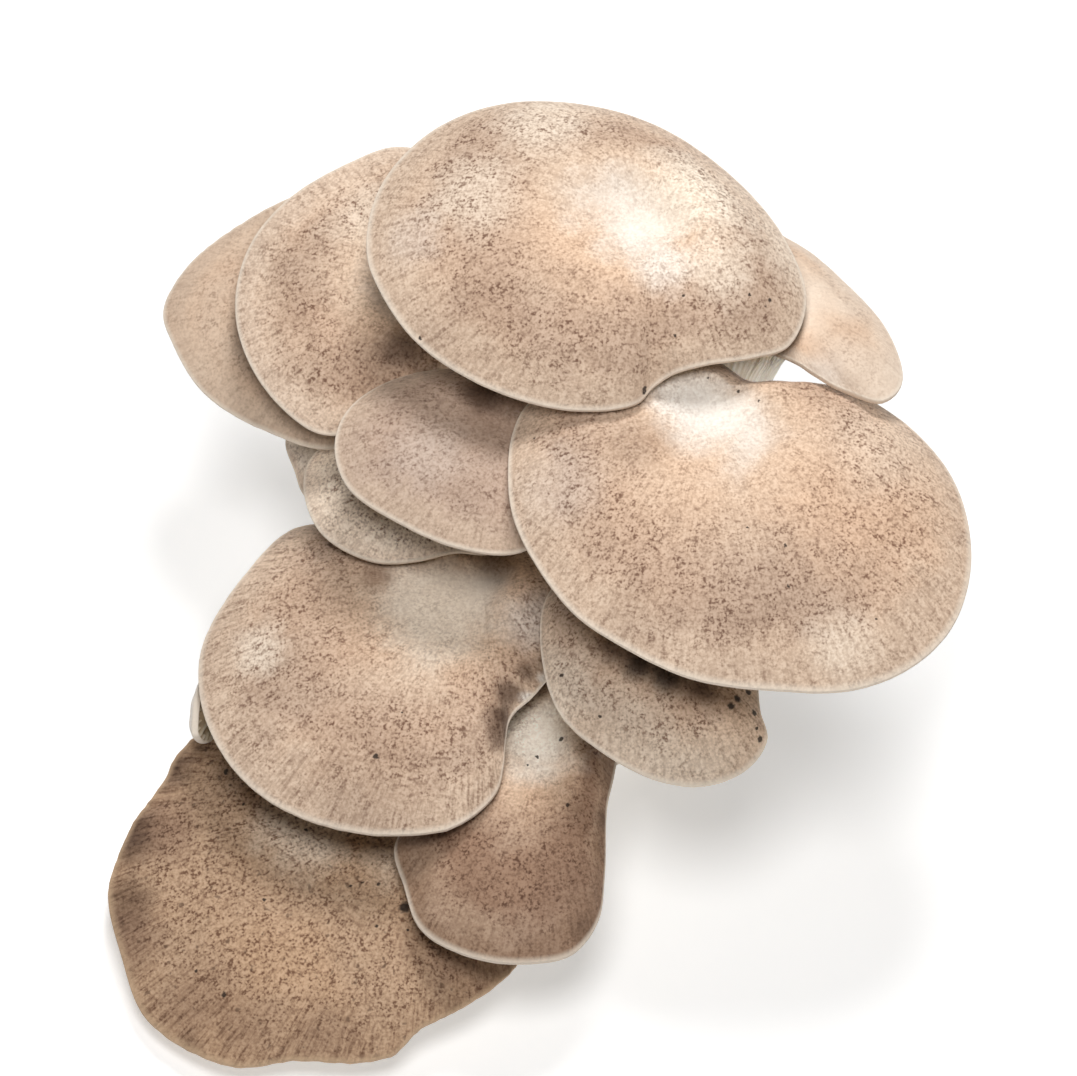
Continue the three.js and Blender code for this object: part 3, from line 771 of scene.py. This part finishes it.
def gill_piece(mushroom, plane):
    per_gill = len(GILL_SECTION)
    gills = 4 * round(rim_length(mushroom, plane) / GILL_PITCH / 4)
    rim = Rim(mushroom, plane, per_gill * gills)
    dice = np.random.default_rng(gills + round(mushroom["height"]))
    size = min(1, rim.mean / FULL_GILL_RADIUS)
    flare = STEM_FLARE * mushroom["stem"]
    axis = Stem(mushroom, plane)
    edge = np.tile(GILL_SECTION, gills)
    depths = np.repeat(dice.uniform(*GILL_DEPTHS, gills), per_gill)
    ends = np.repeat(np.tile(GILL_ENDS, gills // 4) + dice.uniform(-0.06, 0.06, gills), per_gill)
    long = np.repeat(np.tile(RIB_HEIGHTS, gills // 4), per_gill)
    reaches = length(rim.spokes)
    ways = unit(rim.spokes)

    def under_ring(share, lift, mark):
        points = plane.centre + rim.spokes * np.reshape(share, (-1, 1))
        return points + plane.normal * (lift + rim.lift(share))[:, None], rim.marks(mark)

    def gill_ring(out):
        share = (flare + (GILL_RIM * reaches - flare) * out) / reaches
        grown = edge * smooth(ends, ends + 0.16, out)
        own = depths + (1 - depths) * (1 - smooth(0, 0.2, out))
        ridge = from_table(GILL_RIDGES, out) * size * own
        valley = from_table(GILL_VALLEYS, out) * size
        hang = valley + (ridge - valley) * grown
        return under_ring(share, under_height(mushroom, share) - hang, grown)

    start = (10 * size + 1) / axis.length

    def stem_ring(along):
        tangent = axis.tangent(along)
        turn = Vector(-plane.normal).rotation_difference(Vector(tangent)).to_matrix()
        out = ways @ np.array(turn).T
        down = (along - start) * axis.length
        radius = mushroom["stem"] * (1 - STEM_TAPER * along)
        radius = radius + (flare - mushroom["stem"]) * math.exp(-down / (0.9 * mushroom["stem"]))
        wander = 0.035 * np.sin(3 * rim.turns + 5 * along)
        radius = radius * (1 + wander + 0.025 * np.sin(7 * rim.turns - 3 * along))
        radius = radius + (edge * long - 0.3) * 1.1 * size * math.exp(-down / STEM_RIB_REACH)
        fibres = lumps(out * mushroom["stem"] + tangent * down * 0.12, STEM_FIBRE_WIDTH, gills)
        points = axis.at(along) + out * (radius + 0.1 * fibres)[:, None]
        near = np.maximum(0, above_butt(points))
        spread = STEM_SPREAD * np.exp(-near / STEM_SPREAD_REACH) * smooth(0, 0.4, along)
        points = points + out * spread[:, None]
        # The feet inside the butt stay above its cut face.
        points[:, 2] = np.maximum(points[:, 2], STEM_LOWEST)
        return points, rim.marks(2 + along)

    rings = [under_ring(0 * reaches, under_height(mushroom, 0) + 0.4, 0)]
    top = GILL_RIM + 0.005
    rings.append(under_ring(top + 0 * reaches, under_height(mushroom, top) + 0.4, 0))
    rings += [gill_ring(out) for out in GILL_PLACES]
    rings += [stem_ring(start + (1 - start) * step / STEM_STEPS) for step in range(STEM_STEPS + 1)]
    rings.append((np.tile(axis.at(1), (len(edge), 1)), rim.marks(3)))
    return rings_piece("gills_" + mushroom["name"], rings)


def butt_radius(ways):
    """How far the butt's surface is from its middle, along these ways."""
    x, y, z = ways.T
    lump = np.sin(5 * x + 2 * z) * np.cos(4 * y - z) + np.sin(7 * y + 3 * x) / 2
    swell = sum(np.exp(STEM_SWELL_SHARPNESS * (ways @ stem - 1)) for stem in STEM_WAYS)
    return (1 + BUTT_LUMP * lump) / length(ways / BUTT_RADII) + STEM_SWELL * np.minimum(1, swell)


def above_butt(points):
    away = points - BUTT_MIDDLE
    return length(away) - butt_radius(unit(away))


def butt_piece():
    mesh = bpy.data.meshes.new("butt_flesh")
    bm = bmesh.new()
    bmesh.ops.create_uvsphere(bm, u_segments=BUTT_COLUMNS, v_segments=BUTT_ROWS, radius=1)
    ways = unit(np.array([vert.co for vert in bm.verts]))
    radii = butt_radius(ways) + 0.35 * lumps(ways * 30, 9, 5) + 0.15 * lumps(ways * 30, 3.5, 6)
    for vert, point in zip(bm.verts, (BUTT_MIDDLE + ways * radii[:, None]) * METRE):
        vert.co = point
    everything = bm.verts[:] + bm.edges[:] + bm.faces[:]
    down = (0, 0, -1)
    cut = bmesh.ops.bisect_plane(bm, geom=everything, plane_co=(0, 0, 0), plane_no=down, clear_outer=True)
    edges = [item for item in cut["geom_cut"] if isinstance(item, bmesh.types.BMEdge)]
    bmesh.ops.contextual_create(bm, geom=edges)
    return finished_piece("butt_flesh", mesh, bm)


STEM_WAYS = [unit(Stem(mushroom, Plane(mushroom)).at(0.7) - BUTT_MIDDLE) for mushroom in MUSHROOMS]


# Finishes

class Value:
    """An output socket; sums and products of it add Math nodes."""

    def __init__(self, finish, socket):
        self.finish = finish
        self.socket = socket

    def __add__(self, other):
        return self.finish.maths("ADD", self, other)

    def __sub__(self, other):
        return self.finish.maths("SUBTRACT", self, other)

    def __rsub__(self, other):
        return self.finish.maths("SUBTRACT", other, self)

    def __mul__(self, other):
        return self.finish.maths("MULTIPLY", self, other)

    def __truediv__(self, other):
        return self.finish.maths("DIVIDE", self, other)

    __radd__ = __add__
    __rmul__ = __mul__


class Finish:
    """A material in the making."""

    def __init__(self, name):
        self.material = bpy.data.materials.new(name)
        self.material.use_nodes = True
        self.tree = self.material.node_tree
        self.shader = self.tree.nodes["Principled BSDF"]

    def feed(self, socket, value):
        if isinstance(value, Value):
            self.tree.links.new(value.socket, socket)
        else:
            socket.default_value = value

    def add(self, kind, settings, inputs, output=0):
        """A node: its settings are set first, then its sockets by name, identifier or place."""
        node = self.tree.nodes.new(kind)
        for name, value in settings.items():
            setattr(node, name, value)
        for name, value in inputs.items():
            if isinstance(name, int):
                self.feed(node.inputs[name], value)
            else:
                found = [s for s in node.inputs if s.identifier == name or s.name == name]
                self.feed(found[0], value)
        return Value(self, node.outputs[output])

    def maths(self, operation, a, b):
        return self.add("ShaderNodeMath", {"operation": operation}, {0: a, 1: b})

    def smooth(self, value, low, high):
        settings = {"interpolation_type": "SMOOTHSTEP"}
        return self.add("ShaderNodeMapRange", settings, {"Value": value, "From Min": low, "From Max": high})

    def mix(self, factor, a, b, blend="MIX"):
        settings = {"data_type": "RGBA", "blend_type": blend}
        return self.add("ShaderNodeMix", settings, {"Factor_Float": factor, "A_Color": a, "B_Color": b}, 2)

    def place(self):
        return self.add("ShaderNodeTexCoord", {}, {}, 3)

    def attribute(self, name):
        return self.add("ShaderNodeAttribute", {"attribute_name": name}, {}, 1)

    def part(self, vector, axis):
        return self.add("ShaderNodeSeparateXYZ", {}, {"Vector": vector}, axis)

    def stretch(self, vector, factors):
        return self.add("ShaderNodeVectorMath", {"operation": "MULTIPLY"}, {0: vector, 1: factors})

    def distance(self, vector, point):
        return self.add("ShaderNodeVectorMath", {"operation": "DISTANCE"}, {0: vector, 1: point}, 1)

    def noise(self, vector, scale, detail=2, roughness=0.5, distortion=0):
        inputs = {"Vector": vector, "Scale": scale, "Detail": detail}
        inputs |= {"Roughness": roughness, "Distortion": distortion}
        return self.add("ShaderNodeTexNoise", {}, inputs)

    def bump(self, height, strength, distance):
        inputs = {"Height": height, "Strength": strength, "Distance": distance}
        return self.add("ShaderNodeBump", {}, inputs)

    def give(self, piece):
        piece.data.materials.clear()
        piece.data.materials.append(self.material)


def on_skin(skin, right, above):
    """The point of a skin that is seen there."""
    apart = np.hypot(skin[:, 0] - right, skin @ SEEN_UP - above)
    return skin[apart.argmin()]


def cap_finish(mushroom, reach, skin):
    """Velvety skin: pale bloom over the stem, a browner band of dark granules, and a thin light rim."""
    look = SKIN | LOOKS[mushroom["name"]]
    finish = Finish("cap_skin_" + mushroom["name"])
    place = finish.place()
    spoke = finish.attribute("spoke")
    share = finish.part(spoke, 2)
    fine = finish.noise(place, FINE_SCALE, 1, 0.5)
    granules = finish.noise(place, GRANULE_SCALE, 2, 0.6)
    clumps = finish.noise(place, CLUMP_SCALE, 3, 0.65)
    streak = (reach / STREAK_WIDTH, reach / STREAK_WIDTH, reach / STREAK_LENGTH)
    streaks = finish.noise(finish.stretch(spoke, streak), 1, 2, 0.6)
    blotches = finish.noise(place, BLOTCH_SCALE, 3, 0.6)
    drift = finish.noise(place, DRIFT_SCALE, 2, 0.5)
    edge = share + (blotches - 0.5) * 0.22 + (drift - 0.5) * 0.35

    bloom = 1 - finish.smooth(edge, 0.02, look["bloom"])
    band = finish.smooth(edge, look["bloom"] * 0.8, 0.68) * (1 - finish.smooth(edge, 0.76, 0.94))
    margin = finish.smooth(edge, 0.76, 0.96)
    rim = finish.smooth(share, 0.975, 1.005)
    under = finish.smooth(share, 1.045, 1.07)

    colour = finish.mix(finish.smooth(drift, 0.36, 0.64), look["tan"], look["warm"])
    colour = finish.mix(band * look["band"], colour, look["brown"])
    colour = finish.mix(margin * 0.8, colour, look["margin"])
    colour = finish.mix(bloom * 0.95, colour, look["pale"])
    # Patches of tone: the skin's own darker and paler areas, and, as noted in the looks, painted shade under
    # other caps' edges and painted light on shaded or lit parts.
    for tone, seen, radius, strength in look["patches"]:
        centre = on_skin(skin, *seen) * METRE
        away = finish.distance(place, centre) / (radius * METRE) + (blotches - 0.5) * 0.9
        colour = finish.mix((1 - finish.smooth(away, 0.2, 1.2)) * strength, colour, tone)

    # Tiny granules, light and dark, lie close together everywhere and are darkest in clumps in the band.
    mottle = fine * 0.4 + granules * 0.4 + streaks * 0.2
    thick = 0.18 + band * 0.46 + (1 - bloom) * 0.3
    dark = finish.smooth(mottle, 0.47, 0.62) * thick * (0.45 + finish.smooth(clumps, 0.35, 0.65) * 0.8)
    dark = dark + margin * finish.smooth(streaks, 0.45, 0.68) * look["pleats"]
    colour = finish.mix(dark * look["grain"], colour, DARK_GRANULE, "MULTIPLY")
    light = finish.smooth(mottle, 0.5, 0.39) * (0.6 - bloom * 0.35)
    colour = finish.mix(light * look["grain"], colour, LIGHT_GRANULE, "MULTIPLY")
    if look["pits"]:
        pits = finish.smooth(finish.noise(place, PIT_SCALE, 1, 0.5), 0.67, 0.75)
        colour = finish.mix(pits * look["pits"], colour, SEPIA)
    colour = finish.mix(rim * 0.7, colour, look["rim"])
    for seen, radius in look["specks"]:
        away = finish.distance(place, on_skin(skin, *seen) * METRE) + (granules - 0.5) * 0.0016
        speck = 1 - finish.smooth(away, radius * METRE * 0.5, radius * METRE * 1.05)
        colour = finish.mix(speck * 0.92, colour, CRUMB)
    colour = finish.mix(under, colour, look["rim"])

    shader = finish.shader.inputs
    finish.feed(shader["Base Color"], colour)
    finish.feed(shader["Roughness"], 0.66 + granules * 0.2)
    height = fine * 0.35 + granules * 0.8 + streaks * margin * 0.8 + blotches * 0.8
    finish.feed(shader["Normal"], finish.bump(height, 0.35, 0.0005))
    shader["Specular IOR Level"].default_value = 0.3
    shader["Sheen Weight"].default_value = 0.12
    shader["Sheen Roughness"].default_value = 0.5
    return finish


def flesh_finish(name, reach):
    """Cream gills with painted shade between them, on white stems with fine long fibres."""
    finish = Finish(name)
    place = finish.place()
    spoke = finish.attribute("spoke")
    along = finish.part(spoke, 2)
    on_stem = finish.smooth(along, 1.2, 1.9)
    low = finish.smooth(along, 2.55, 2.95)
    fibres = finish.noise(finish.stretch(spoke, (reach, reach, 4)), 1, 3, 0.65)
    grain = finish.noise(place, 1400, 3, 0.6)
    cloud = finish.noise(place, 80, 3, 0.55)
    edge = finish.smooth(along, 0.05, 0.85)
    # The valleys between the gills get painted shade; the gills' edges stay cream.
    gill = finish.mix(edge, GILL_PAINTED_SHADE, GILL_EDGE)
    gill = finish.mix(finish.smooth(cloud, 0.45, 0.75) * 0.3, gill, GILL_CLOUD)
    stem = finish.mix(finish.smooth(fibres, 0.35, 0.7), STEM_WHITE, STEM_FIBRE)
    stem = finish.mix(low * finish.smooth(cloud, 0.35, 0.65) * 0.5, stem, STEM_FOOT)
    colour = finish.mix(on_stem, gill, stem)
    colour = finish.mix(finish.smooth(grain, 0.55, 0.8) * 0.2, colour, FLESH_GRAIN)
    shader = finish.shader.inputs
    finish.feed(shader["Base Color"], colour)
    finish.feed(shader["Roughness"], 0.6 + grain * 0.2)
    finish.feed(shader["Normal"], finish.bump(grain * 0.4 + fibres * on_stem * 1.5, 0.5, 0.0005))
    shader["Specular IOR Level"].default_value = 0.35
    shader["Subsurface Weight"].default_value = 0.15
    shader["Subsurface Radius"].default_value = FLESH_DEPTH
    shader["Subsurface Scale"].default_value = 0.5
    return finish


def butt_finish():
    """Dense white flesh with straw and buff stains; its cut face shows the firm grain inside."""
    finish = Finish("butt_flesh")
    place = finish.place()
    height = finish.part(place, 2)
    cloud = finish.noise(place, 55, 4, 0.6)
    grain = finish.noise(place, 1100, 3, 0.65)
    fluff = finish.noise(place, 260, 4, 0.7, 0.6)
    cut = 1 - finish.smooth(height, 0.0001, 0.0006)
    low = 1 - finish.smooth(height, 0.008, 0.034)
    colour = finish.mix(finish.smooth(cloud, 0.4, 0.7) * (0.3 + low * 0.7), BUTT_WHITE, BUTT_STRAW)
    colour = finish.mix(finish.smooth(fluff, 0.5, 0.75) * low * 0.4, colour, BUTT_BUFF)
    colour = finish.mix(cut * 0.5, colour, BUTT_CUT)
    colour = finish.mix(finish.smooth(grain, 0.55, 0.8) * 0.25, colour, BUTT_GRAIN)
    shader = finish.shader.inputs
    finish.feed(shader["Base Color"], colour)
    finish.feed(shader["Roughness"], 0.65 + grain * 0.2)
    finish.feed(shader["Normal"], finish.bump(fluff + grain * 0.4, 0.6, 0.0008))
    shader["Subsurface Weight"].default_value = 0.1
    shader["Subsurface Radius"].default_value = FLESH_DEPTH
    shader["Subsurface Scale"].default_value = 0.5
    return finish


# Camera, light and floor

PICTURE_WIDTH = 1077 * 0.22
CAMERA_DISTANCE = 8000
CAMERA_AIM = (-2.5, 8.2, 50)
SENSOR_WIDTH = 36
LAMP_SIZE = 0.35
LAMP_AIM = (0, 0, 0.06)
ROOM_LIGHT = 0.04
FLOOR_TONE = (0.8, 0.8, 0.8, 1)
FLOOR_GLOW = 0.45


def make_camera():
    data = bpy.data.cameras.new("camera")
    data.sensor_width = SENSOR_WIDTH
    data.lens = SENSOR_WIDTH * CAMERA_DISTANCE / PICTURE_WIDTH
    data.clip_end = 100
    camera = bpy.data.objects.new("camera", data)
    camera.location = (np.array(CAMERA_AIM) + TO_VIEWER * CAMERA_DISTANCE) * METRE
    camera.rotation_mode = "QUATERNION"
    camera.rotation_quaternion = Vector(-TO_VIEWER).to_track_quat("-Z", "Y")
    bpy.context.scene.collection.objects.link(camera)
    bpy.context.scene.camera = camera


def soft_lamp(name, place, power, colour):
    data = bpy.data.lights.new(name, "AREA")
    data.shape = "DISK"
    data.size = LAMP_SIZE
    data.energy = power
    data.color = colour
    lamp = bpy.data.objects.new(name, data)
    lamp.location = place
    lamp.rotation_mode = "QUATERNION"
    lamp.rotation_quaternion = (Vector(LAMP_AIM) - Vector(place)).to_track_quat("-Z", "Y")
    bpy.context.scene.collection.objects.link(lamp)


def make_lights():
    world = bpy.data.worlds.new("room")
    world.use_nodes = True
    background = world.node_tree.nodes["Background"]
    background.inputs["Color"].default_value = (1, 1, 1, 1)
    background.inputs["Strength"].default_value = ROOM_LIGHT
    bpy.context.scene.world = world
    soft_lamp("key_behind", (0.08, 0.4, 0.97), 6.6, (1, 1, 1))
    soft_lamp("key_before", (-0.02, -0.3, 1.01), 5.5, (1, 0.99, 0.98))


def make_floor():
    mesh = bpy.data.meshes.new("floor")
    bm = bmesh.new()
    bmesh.ops.create_grid(bm, x_segments=1, y_segments=1, size=20)
    bm.to_mesh(mesh)
    bm.free()
    floor = bpy.data.objects.new("floor", mesh)
    bpy.context.scene.collection.objects.link(floor)
    finish = Finish("floor")
    finish.shader.inputs["Base Color"].default_value = FLOOR_TONE
    finish.shader.inputs["Roughness"].default_value = 0.9
    finish.shader.inputs["Emission Color"].default_value = (1, 1, 1, 1)
    finish.shader.inputs["Emission Strength"].default_value = FLOOR_GLOW
    finish.give(floor)


make_camera()
make_lights()
make_floor()

for mushroom in MUSHROOMS:
    name = mushroom["name"]
    plane = Plane(mushroom)
    reach = Rim(mushroom, plane, OUTLINE_STEPS).mean
    cap, skin = cap_piece(mushroom, plane)
    cap_finish(mushroom, reach, skin).give(cap)
    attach(cap, "root")
    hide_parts("cap_" + name)
    gills = gill_piece(mushroom, plane)
    flesh_finish("flesh_" + name, mushroom["stem"] * 2).give(gills)
    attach(gills, "root")
    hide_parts("gills_and_stem_" + name)

butt = butt_piece()
butt_finish().give(butt)
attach(butt, "root")
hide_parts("butt")

scene = bpy.context.scene
scene.view_settings.view_transform = "Standard"
scene.view_settings.look = "None"
